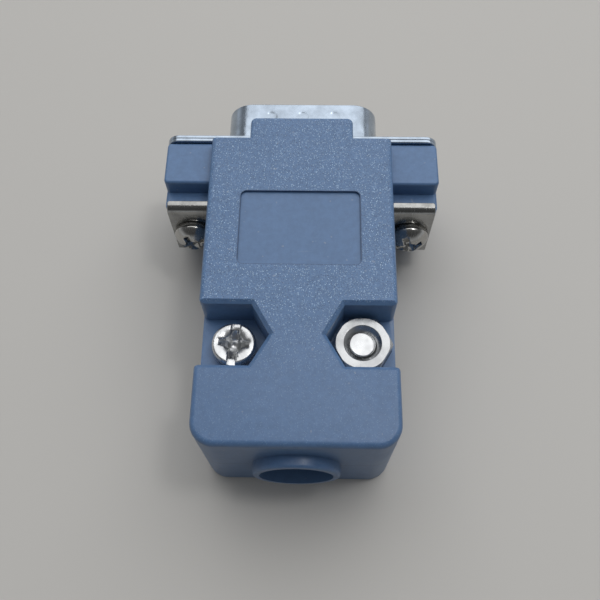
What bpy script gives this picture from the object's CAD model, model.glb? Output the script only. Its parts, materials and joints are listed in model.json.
"""Nine-way D-sub plug in a two-part cable hood, lying on a table with its cable end to the viewer."""

import json
import math

import bmesh
import bpy
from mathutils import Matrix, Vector

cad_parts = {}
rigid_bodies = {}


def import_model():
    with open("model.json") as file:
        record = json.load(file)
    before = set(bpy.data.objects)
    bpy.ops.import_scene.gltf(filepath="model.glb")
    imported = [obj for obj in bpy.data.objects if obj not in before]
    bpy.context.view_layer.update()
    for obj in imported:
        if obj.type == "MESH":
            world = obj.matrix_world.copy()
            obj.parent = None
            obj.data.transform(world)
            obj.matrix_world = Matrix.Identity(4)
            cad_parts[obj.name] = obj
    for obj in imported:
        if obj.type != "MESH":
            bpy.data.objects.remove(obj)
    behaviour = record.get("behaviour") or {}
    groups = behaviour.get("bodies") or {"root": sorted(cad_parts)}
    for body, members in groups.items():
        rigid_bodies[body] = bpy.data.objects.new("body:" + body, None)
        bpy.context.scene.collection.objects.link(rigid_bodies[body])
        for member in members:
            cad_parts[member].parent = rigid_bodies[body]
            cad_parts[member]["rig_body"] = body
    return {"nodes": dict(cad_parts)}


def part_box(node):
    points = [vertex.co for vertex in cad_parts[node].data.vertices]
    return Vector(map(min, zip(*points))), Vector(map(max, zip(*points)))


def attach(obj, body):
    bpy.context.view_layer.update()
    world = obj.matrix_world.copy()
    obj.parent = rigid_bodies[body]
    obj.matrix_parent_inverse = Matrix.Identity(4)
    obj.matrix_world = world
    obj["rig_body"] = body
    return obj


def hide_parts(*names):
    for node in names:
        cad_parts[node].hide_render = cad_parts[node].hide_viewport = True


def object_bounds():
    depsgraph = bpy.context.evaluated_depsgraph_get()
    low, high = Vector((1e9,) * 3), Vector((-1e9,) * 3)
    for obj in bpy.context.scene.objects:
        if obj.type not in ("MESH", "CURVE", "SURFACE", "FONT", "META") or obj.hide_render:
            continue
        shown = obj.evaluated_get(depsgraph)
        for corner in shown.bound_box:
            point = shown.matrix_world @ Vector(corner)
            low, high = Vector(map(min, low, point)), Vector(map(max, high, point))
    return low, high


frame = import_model()
cad_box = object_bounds()

# ---- Camera ----
# A small camera about 90 mm from the connector, above its cable end and looking down at the top
# of the hood. Its lens is 43.5 mm long for a film 36 mm wide.
MM = 0.001
camera = bpy.data.objects.new("camera", bpy.data.cameras.new("camera"))
bpy.context.scene.collection.objects.link(camera)
camera.location = (1.580 * MM, -51.128 * MM, 73.739 * MM)
camera.rotation_euler = (0.426, 0.013, 0.018)
camera.data.sensor_fit = "HORIZONTAL"
camera.data.sensor_width = 36
camera.data.lens = 43.483
camera.data.clip_start = 1 * MM
camera.data.clip_end = 5
bpy.context.scene.camera = camera

# ---- Hood ----
# Two like halves moulded in blue-grey ABS, closed on each other round the plug. Their broad faces
# are spark-eroded to a fine sparkling grain. The ears, notches, walls and label panel are smooth.


def lay(tree, kind, settings=None, **sockets):
    """Adds a node to a tree. Each socket takes a plain value or another node's output. A socket that has
    no name of its own is given by its number, as at0."""
    node = tree.nodes.new(kind)
    for name, value in (settings or {}).items():
        setattr(node, name, value)
    for name, value in sockets.items():
        at = int(name[2:]) if name.startswith("at") and name[2:].isdigit() else name.replace("_", " ")
        if isinstance(value, bpy.types.NodeSocket):
            tree.links.new(value, node.inputs[at])
        else:
            node.inputs[at].default_value = value
    return node


def math_of(tree, operation, *values):
    """Adds a Math node and gives its output."""
    node = lay(tree, "ShaderNodeMath", {"operation": operation}, **{f"at{i}": v for i, v in enumerate(values)})
    return node.outputs[0]


def times(tree, first, *others):
    """The product of two or more values."""
    for other in others:
        first = math_of(tree, "MULTIPLY", first, other)
    return first


def graded(tree, value, low, high, to_low=0.0, to_high=1.0):
    """The value's smooth step from low to high, as a number from to_low to to_high."""
    node = lay(tree, "ShaderNodeMapRange", {"interpolation_type": "SMOOTHSTEP"},
               Value=value, From_Min=low, From_Max=high, To_Min=to_low, To_Max=to_high)
    return node.outputs["Result"]


def vector_of(tree, operation, first, second):
    """Adds a Vector Math node and gives its vector."""
    return lay(tree, "ShaderNodeVectorMath", {"operation": operation}, at0=first, at1=second).outputs[0]


def millimetres(tree):
    """The place on the connector as a vector in millimetres."""
    place = lay(tree, "ShaderNodeTexCoord").outputs["Object"]
    return lay(tree, "ShaderNodeVectorMath", {"operation": "SCALE"}, at0=place, Scale=1 / MM).outputs["Vector"]


def noise(tree, place, scale, detail=2.0, roughness=0.5):
    """Noise with a number of waves for each millimetre."""
    node = lay(tree, "ShaderNodeTexNoise", Vector=place, Scale=scale, Detail=detail, Roughness=roughness)
    return node.outputs["Fac"]


def mixed(tree, share, first, second, blend="MIX"):
    """Two colours mixed by a share."""
    return lay(tree, "ShaderNodeMix", {"data_type": "RGBA", "blend_type": blend},
               at0=share, at6=first, at7=second).outputs[2]


def new_group(name, inputs, outputs):
    """An empty shader node group with its named sockets, and the nodes at its two ends."""
    tree = bpy.data.node_groups.new(name, "ShaderNodeTree")
    for side, sockets in (("INPUT", inputs), ("OUTPUT", outputs)):
        for label, kind, start in sockets:
            socket = tree.interface.new_socket(label, in_out=side, socket_type="NodeSocket" + kind)
            socket.default_value = start
    return tree, tree.nodes.new("NodeGroupInput").outputs, tree.nodes.new("NodeGroupOutput").inputs


def new_material(name, **values):
    """A material with its Principled shader, whose plain values are set here."""
    material = bpy.data.materials.new(name)
    material.use_nodes = True
    shader = material.node_tree.nodes["Principled BSDF"]
    for label, value in values.items():
        shader.inputs[label.replace("_", " ")].default_value = value
    material.diffuse_color = shader.inputs["Base Color"].default_value
    return material, material.node_tree, shader


def place_group(tree, group, **sockets):
    """Places a node group in a material and gives its outputs."""
    return lay(tree, "ShaderNodeGroup", {"node_tree": group}, **sockets).outputs


def dressed(tree, shader, colour, skin, strength, depth):
    """Feeds a skin's roughness and its relief, of a depth in millimetres, and a colour to a shader."""
    tree.links.new(colour, shader.inputs["Base Color"])
    tree.links.new(skin["Roughness"], shader.inputs["Roughness"])
    bump = lay(tree, "ShaderNodeBump", Height=skin["Height"], Strength=strength, Distance=depth * MM)
    tree.links.new(bump.outputs["Normal"], shader.inputs["Normal"])


# Moulded plastic: mottled, with bright flecks and dark pits where it is grained, scuffs and dust
moulded, given, made = new_group(
    "moulded_skin",
    [("Colour", "Color", (0.5, 0.5, 0.5, 1)), ("Grain", "Float", 1.0), ("Flecks", "Float", 0.3),
     ("Roughness", "Float", 0.4)],
    [("Colour", "Color", (0.5, 0.5, 0.5, 1)), ("Roughness", "Float", 0.4), ("Height", "Float", 0.0)])
place = millimetres(moulded)
cells = lay(moulded, "ShaderNodeTexVoronoi", Vector=place, Scale=9.6, Randomness=1.0)
lot = lay(moulded, "ShaderNodeSeparateColor", Color=cells.outputs["Color"]).outputs  # drawn for each cell
dots = graded(moulded, cells.outputs["Distance"], 0.20, 0.60, 1.0, 0.0)
flecks = times(moulded, dots, graded(moulded, lot[0], 0.62, 1.0))
pits = times(moulded, dots, graded(moulded, lot[1], 0.35, 1.0))
patches = graded(moulded, noise(moulded, place, 0.16, 3.0, 0.6), 0.25, 0.75)
dust = graded(moulded, noise(moulded, place, 1.7, 1.0, 0.5), 0.74, 0.77)
streaks = vector_of(moulded, "MULTIPLY", place, (0.35, 2.6, 0.35))
scuff = graded(moulded, noise(moulded, streaks, 1.0, 4.0, 0.7), 0.60, 0.78)
mottle = graded(moulded, noise(moulded, place, 1.3, 4.0, 0.75), 0.30, 0.70, 0.91, 1.07)
mottle = math_of(moulded, "SUBTRACT", mottle, times(moulded, patches, 0.03))
tone = mixed(moulded, 1.0, given["Colour"], mottle, "MULTIPLY")
fleck_colour, pit_colour = (0.60, 0.80, 1.0, 1), (0.040, 0.075, 0.150, 1)
for mask, share, colour in ((flecks, 1.15, fleck_colour), (pits, 1.6, pit_colour)):
    tone = mixed(moulded, times(moulded, mask, given["Grain"], given["Flecks"], share), tone, colour)
scuff_colour, dust_colour = (0.45, 0.48, 0.52, 1), (0.42, 0.43, 0.42, 1)
tone = mixed(moulded, times(moulded, scuff, 0.09), tone, scuff_colour)
tone = mixed(moulded, times(moulded, dust, 0.22), tone, dust_colour)
moulded.links.new(tone, made["Colour"])
rough = math_of(moulded, "ADD", given["Roughness"], times(moulded, patches, 0.08))
rough = math_of(moulded, "ADD", rough, times(moulded, given["Grain"], 0.06))
moulded.links.new(rough, made["Roughness"])
fine = math_of(moulded, "ADD", times(moulded, flecks, 0.8), noise(moulded, place, 7.5, 2.0, 0.6))
sink = times(moulded, noise(moulded, place, 0.35, 1.0, 0.4), 0.6)  # where the walls shrank in the mould
moulded.links.new(math_of(moulded, "ADD", times(moulded, fine, given["Grain"]), sink), made["Height"])

hood_colour, dirt_colour = (0.095, 0.184, 0.350, 1), (0.045, 0.085, 0.170, 1)
hood_plastic, tree, shader = new_material("hood_plastic", Base_Color=hood_colour, Roughness=0.36)
place = millimetres(tree)
spot = lay(tree, "ShaderNodeSeparateXYZ", Vector=place).outputs
from_seam = math_of(tree, "ABSOLUTE", spot["Z"])
half_height = 7.8
on_broad_face = graded(tree, from_seam, half_height - 0.28, half_height - 0.10)
unworn = graded(tree, spot["Y"], -31.0, -19.0, 0.22, 1.0)  # hands have smoothed the cable end
skin = place_group(tree, moulded, Colour=hood_colour, Flecks=0.70, Roughness=0.32,
                   Grain=times(tree, on_broad_face, unworn))

# Dirt lies on the worn end, in the seam, and on the label panel and its edge. The way out from the
# panel's middle is measured past the oblong that its corners are rounded from.
panel_middle, panel_core, panel_corner = (0, -12.75, 0), (5.75, 3.75, 0), 0.65
past_core = vector_of(tree, "SUBTRACT", place, panel_middle)
past_core = vector_of(tree, "ABSOLUTE", past_core, (0, 0, 0))
past_core = vector_of(tree, "SUBTRACT", past_core, panel_core)
past_core = vector_of(tree, "MULTIPLY", past_core, (1, 1, 0))
past_core = vector_of(tree, "MAXIMUM", past_core, (0, 0, 0))
way_out = lay(tree, "ShaderNodeVectorMath", {"operation": "LENGTH"}, at0=past_core).outputs["Value"]
panel_dirt = times(tree, graded(tree, way_out, panel_corner - 0.10, panel_corner, 0.10, 0.60),
                   graded(tree, way_out, panel_corner + 0.05, panel_corner + 0.15, 1.0, 0.0))
seam_dirt = graded(tree, from_seam, 0.05, 0.13, 0.85, 0.0)
worn_dirt = times(tree, math_of(tree, "SUBTRACT", 1.0, unworn), 0.32)
dirt = math_of(tree, "MAXIMUM", math_of(tree, "MAXIMUM", worn_dirt, panel_dirt), seam_dirt)
dressed(tree, shader, mixed(tree, dirt, skin["Colour"], dirt_colour), skin, 0.6, 0.02)


def cad_copy(node):
    """A copy of a CAD node's mesh without its materials, and its form with points in one place joined."""
    mesh = frame["nodes"][node].data.copy()
    mesh.materials.clear()
    form = bmesh.new()
    form.from_mesh(mesh)
    bmesh.ops.remove_doubles(form, verts=form.verts, dist=0.0005 * MM)
    return mesh, form


def stand_in(node, mesh, form, sharp):
    """A piece of a form that stands for a CAD node, shaded smooth but for edges over an angle in degrees."""
    form.to_mesh(mesh)
    form.free()
    piece = bpy.data.objects.new(node + "_piece", mesh)
    bpy.context.scene.collection.objects.link(piece)
    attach(piece, frame["nodes"][node]["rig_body"])
    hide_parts(node)
    for face in mesh.polygons:
        face.use_smooth = True
    mesh.set_sharp_from_angle(angle=math.radians(sharp))
    return piece


def softened(node, width):
    """A copy of a CAD node whose flat faces are made whole, and whose sharp edges are rounded by a width
    in millimetres."""
    flat, sharp = 0.3, 28  # degrees between two faces
    mesh, form = cad_copy(node)
    bmesh.ops.dissolve_limit(form, angle_limit=math.radians(flat), verts=form.verts, edges=form.edges)
    piece = stand_in(node, mesh, form, sharp)
    bevel = piece.modifiers.new("edges", "BEVEL")
    bevel.width, bevel.segments, bevel.miter_outer = width * MM, 2, "MITER_ARC"
    bevel.limit_method, bevel.angle_limit = "ANGLE", math.radians(sharp)
    return piece


def finished(piece, material):
    """Gives a piece or a CAD node its material and the name of its finish in the record."""
    piece.data.materials.clear()
    piece.data.materials.append(material)


for half in ("hood_upper", "hood_lower"):
    finished(softened(half, width=0.14), hood_plastic)

# ---- Plug shell ----
# Two sheets of thin steel, each drawn to a D and plated with bright nickel. The front one is the
# plug's rim with three dimples on each long side, and the rear one closes on the insulators.

# Plated metal: a slow wave and smudges over it, long scratches, and grit under the plating
plated, given, made = new_group(
    "plated_metal",
    [("Colour", "Color", (0.8, 0.8, 0.8, 1)), ("Smudge Colour", "Color", (0.4, 0.4, 0.4, 1)),
     ("Roughness", "Float", 0.2), ("Smudges", "Float", 0.4), ("Scratches", "Float", 0.4), ("Grit", "Float", 0.05)],
    [("Colour", "Color", (0.8, 0.8, 0.8, 1)), ("Roughness", "Float", 0.2), ("Height", "Float", 0.0)])
place = millimetres(plated)
smudges = graded(plated, noise(plated, place, 0.5, 3.0, 0.6), 0.3, 0.7)
streaks = vector_of(plated, "MULTIPLY", place, (9.0, 0.7, 2.5))
scratches = graded(plated, noise(plated, streaks, 1.0, 2.0, 0.6), 0.58, 0.72)
scratches = times(plated, scratches, given["Scratches"])
tone = mixed(plated, times(plated, smudges, given["Smudges"]), given["Colour"], given["Smudge Colour"])
plated.links.new(tone, made["Colour"])
rough = math_of(plated, "ADD", given["Roughness"], times(plated, smudges, 0.12))
plated.links.new(math_of(plated, "ADD", rough, times(plated, scratches, 0.3)), made["Roughness"])
wave = times(plated, noise(plated, place, 0.55, 1.0, 0.4), 1.2)
grit = times(plated, noise(plated, place, 9.0, 2.0, 0.6), given["Grit"])
height = math_of(plated, "ADD", wave, times(plated, scratches, 0.12))
plated.links.new(math_of(plated, "ADD", height, grit), made["Height"])


def new_metal(name, colour, roughness, smudges, scratches, depth, grit=0.05):
    """A plated metal. The depth of its waves and scratches is in millimetres, and the grit is a share of it."""
    material, tree, shader = new_material(name, Base_Color=colour, Roughness=roughness, Metallic=1.0)
    smudge_colour = [0.45 * part for part in colour[:3]] + [1]
    skin = place_group(tree, plated, Colour=colour, Smudge_Colour=smudge_colour, Roughness=roughness,
                       Smudges=smudges, Scratches=scratches, Grit=grit)
    dressed(tree, shader, skin["Colour"], skin, 0.8, depth)
    return material


nickel = new_metal("bright_nickel", (0.42, 0.49, 0.58, 1), roughness=0.16, smudges=0.45, scratches=0.4,
                   depth=0.05, grit=0.01)
for sheet in ("front_shell", "rear_shell"):
    finished(softened(sheet, width=0.06), nickel)

# ---- Insulators ----
# Two blocks of black glass-filled polyester that fill the shell and trap the contacts' collars.
# Only the front one's face shows, at the foot of the plug.
insulator_colour = (0.014, 0.014, 0.015, 1)
insulator_plastic, tree, shader = new_material("insulator_plastic", Base_Color=insulator_colour, Roughness=0.45)
skin = place_group(tree, moulded, Colour=insulator_colour, Flecks=0.02, Roughness=0.40, Grain=0.5)
dressed(tree, shader, skin["Colour"], skin, 0.5, 0.01)
for block in ("insulator_front", "insulator_rear"):
    finished(frame["nodes"][block], insulator_plastic)

# ---- Contacts ----
# Nine brass pins turned with a round nose, a collar and a solder cup, and flashed with gold over
# nickel. The two insulators hold them by their collars, five in the wide row and four in the other.
gold = new_metal("gold_flash", (0.86, 0.64, 0.29, 1), roughness=0.18, smudges=0.10, scratches=0.2, depth=0.01)
for number in range(1, 10):
    finished(frame["nodes"][f"contact_{number}"], gold)

# ---- Case screws and nuts ----
# Two pan-head machine screws with a slot and a cross, one from each side, and a plain hexagon nut
# on the end of each. All are steel plated with bright zinc. The screws' ends show their thread.
nut_zinc = new_metal("bright_zinc", (0.52, 0.53, 0.54, 1), roughness=0.20, smudges=0.45, scratches=0.5,
                     depth=0.03, grit=0.03)
screw_zinc = new_metal("screw_zinc", (0.68, 0.69, 0.70, 1), roughness=0.22, smudges=0.45, scratches=0.5,
                       depth=0.05, grit=0.03)


def threaded(node, axis, start, end, diameter, pitch, point):
    """A copy of a CAD screw whose plain end is cut off at start, a place along its axis in millimetres, and
    made again as a rolled thread up to end, where it tapers over the length of its point."""
    around, rings_a_turn = 36, 10
    groove_depth, inside, plug_radius = 0.58 * pitch, 0.1, 0.35 * diameter
    mesh, form = cad_copy(node)
    low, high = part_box(node)
    forward = Vector((0, 0, 0))
    forward[axis] = math.copysign(1, end - start)
    side = Vector((1, 0, 0))
    up = forward.cross(side)
    cut = (low + high) / 2
    cut[axis] = start * MM
    bmesh.ops.bisect_plane(form, geom=form.verts[:] + form.edges[:] + form.faces[:], plane_co=cut,
                           plane_no=forward, clear_outer=True)
    bmesh.ops.holes_fill(form, edges=[edge for edge in form.edges if edge.is_boundary], sides=0)
    length = abs(end - start)
    rows = math.ceil(length / pitch * rings_a_turn)
    rings = []
    for row in range(rows + 1):
        along = length * row / rows if row else -inside  # the first ring is small, and inside the shank
        fade = min(1, max(0, along / pitch))
        ring = []
        for k in range(around):
            phase = (along / pitch + k / around) % 1
            cutting = min(1, max(0, 1.35 - abs(phase - 0.5) * 3.6))  # 0 on the crest, 1 along the groove's foot
            radius = diameter / 2 - groove_depth * cutting * fade if row else plug_radius
            radius = min(radius, diameter / 2 - point + (length - along))
            turn = math.tau * k / around
            outward = side * math.cos(turn) + up * math.sin(turn)
            ring.append(form.verts.new(cut + MM * (forward * along + radius * outward)))
        rings.append(ring)
    for lower, upper in zip(rings, rings[1:]):
        for k in range(around):
            form.faces.new((lower[k], lower[(k + 1) % around], upper[(k + 1) % around], upper[k]))
    form.faces.new(rings[0][::-1])
    form.faces.new(rings[-1])
    return stand_in(node, mesh, form, 32)


thread_length = 3.2
for screw, way_up in (("case_screw_left", -1), ("case_screw_right", 1)):
    low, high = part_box(screw)
    tip = (low if way_up < 0 else high).z / MM
    piece = threaded(screw, axis=2, start=tip - thread_length * way_up, end=tip, diameter=2.7, pitch=0.5, point=0.1)
    finished(piece, screw_zinc)
for nut in ("case_nut_left", "case_nut_right"):
    finished(softened(nut, width=0.06), nut_zinc)

# ---- Jackscrew brackets ----
# A clip of plated steel folded over the back of each ear, which keeps the jackscrew in its hood.
# The screw's head bears on it.
clip_plate = new_metal("bracket_plate", (0.40, 0.40, 0.39, 1), roughness=0.12, smudges=0.70, scratches=0.4,
                       depth=0.012, grit=0.60)
for side in ("left", "right"):
    finished(softened("jackscrew_bracket_" + side, width=0.08), clip_plate)

# ---- Jackscrews ----
# Two steel screws with a domed cross-recessed head and a 4-40 thread at the tip, plated with a
# duller zinc than the case screws. They turn freely in the clips and the shell.
dull_zinc = new_metal("dull_zinc", (0.46, 0.455, 0.44, 1), roughness=0.12, smudges=0.40, scratches=0.5, depth=0.02)
for side in ("left", "right"):
    finished(threaded("jackscrew_" + side, axis=1, start=0.05, end=3.4, diameter=2.84, pitch=0.635, point=0.5),
             dull_zinc)

# ---- Cable clamp ----
# Two saddles pressed from the same plated steel as the clips, which grip the cable inside the
# hood behind its collar. Two small screws draw them together.
for saddle in ("cable_clamp_upper", "cable_clamp_lower"):
    finished(frame["nodes"][saddle], clip_plate)
for side in ("left", "right"):
    finished(frame["nodes"]["clamp_screw_" + side], nut_zinc)

# ---- Table and light ----
# A plain pale table top, a wide soft lamp above the mating end with a small one beside it, and an
# even room light that is weaker on the cable's side. The room shows pale behind the table.
table = bpy.data.meshes.new("table")
half_side = 1.5
table.from_pydata([(-half_side, -half_side, 0), (half_side, -half_side, 0), (half_side, half_side, 0),
                   (-half_side, half_side, 0)], [], [(0, 1, 2, 3)])
floor = bpy.data.objects.new("table_top", table)
floor.location.z = cad_box[0].z - 0.01 * MM
bpy.context.scene.collection.objects.link(floor)
table_paint, tree, shader = new_material("table_paint", Base_Color=(0.52, 0.505, 0.48, 1), Roughness=0.7)
table.materials.append(table_paint)

for name, across, down, watts, spot in (("soft_lamp", 1.00, 0.80, 3.40, (0.06, 0.35, 0.54)),
                                        ("small_lamp", 0.08, 0.08, 0.36, (0.20, 0.02, 0.56))):
    lamp = bpy.data.objects.new(name, bpy.data.lights.new(name, "AREA"))
    lamp.data.shape = "RECTANGLE"
    lamp.data.size, lamp.data.size_y, lamp.data.energy = across, down, watts
    lamp.location = spot
    lamp.rotation_euler = (-Vector(spot)).to_track_quat("-Z", "Y").to_euler()
    bpy.context.scene.collection.objects.link(lamp)

world = bpy.data.worlds.new("room")
bpy.context.scene.world = world
world.use_nodes = True
tree = world.node_tree
background = tree.nodes["Background"]
background.inputs["Color"].default_value = (0.95, 0.975, 1.0, 1)
way = lay(tree, "ShaderNodeSeparateXYZ", Vector=lay(tree, "ShaderNodeTexCoord").outputs["Generated"]).outputs
# how strongly the room lights the connector, and how strongly its wall shows
lit = math_of(tree, "ADD", graded(tree, way["Z"], 0.0, 0.9, 0.14, 0.42),
              graded(tree, way["Y"], -0.9, 0.9, -0.14, 0.14))
wall = math_of(tree, "ADD", graded(tree, way["Z"], 0.10, 0.50, 0.54, 0.14),
               graded(tree, way["Y"], -1.0, 1.0, -0.06, 0.08))
rays = lay(tree, "ShaderNodeLightPath").outputs
in_sight = math_of(tree, "MAXIMUM", rays["Is Camera Ray"], rays["Is Glossy Ray"])
in_sight = math_of(tree, "MAXIMUM", in_sight, rays["Is Transmission Ray"])
more = times(tree, math_of(tree, "SUBTRACT", wall, lit), in_sight)
tree.links.new(math_of(tree, "ADD", lit, more), background.inputs["Strength"])
bpy.context.scene.view_settings.view_transform = "Standard"
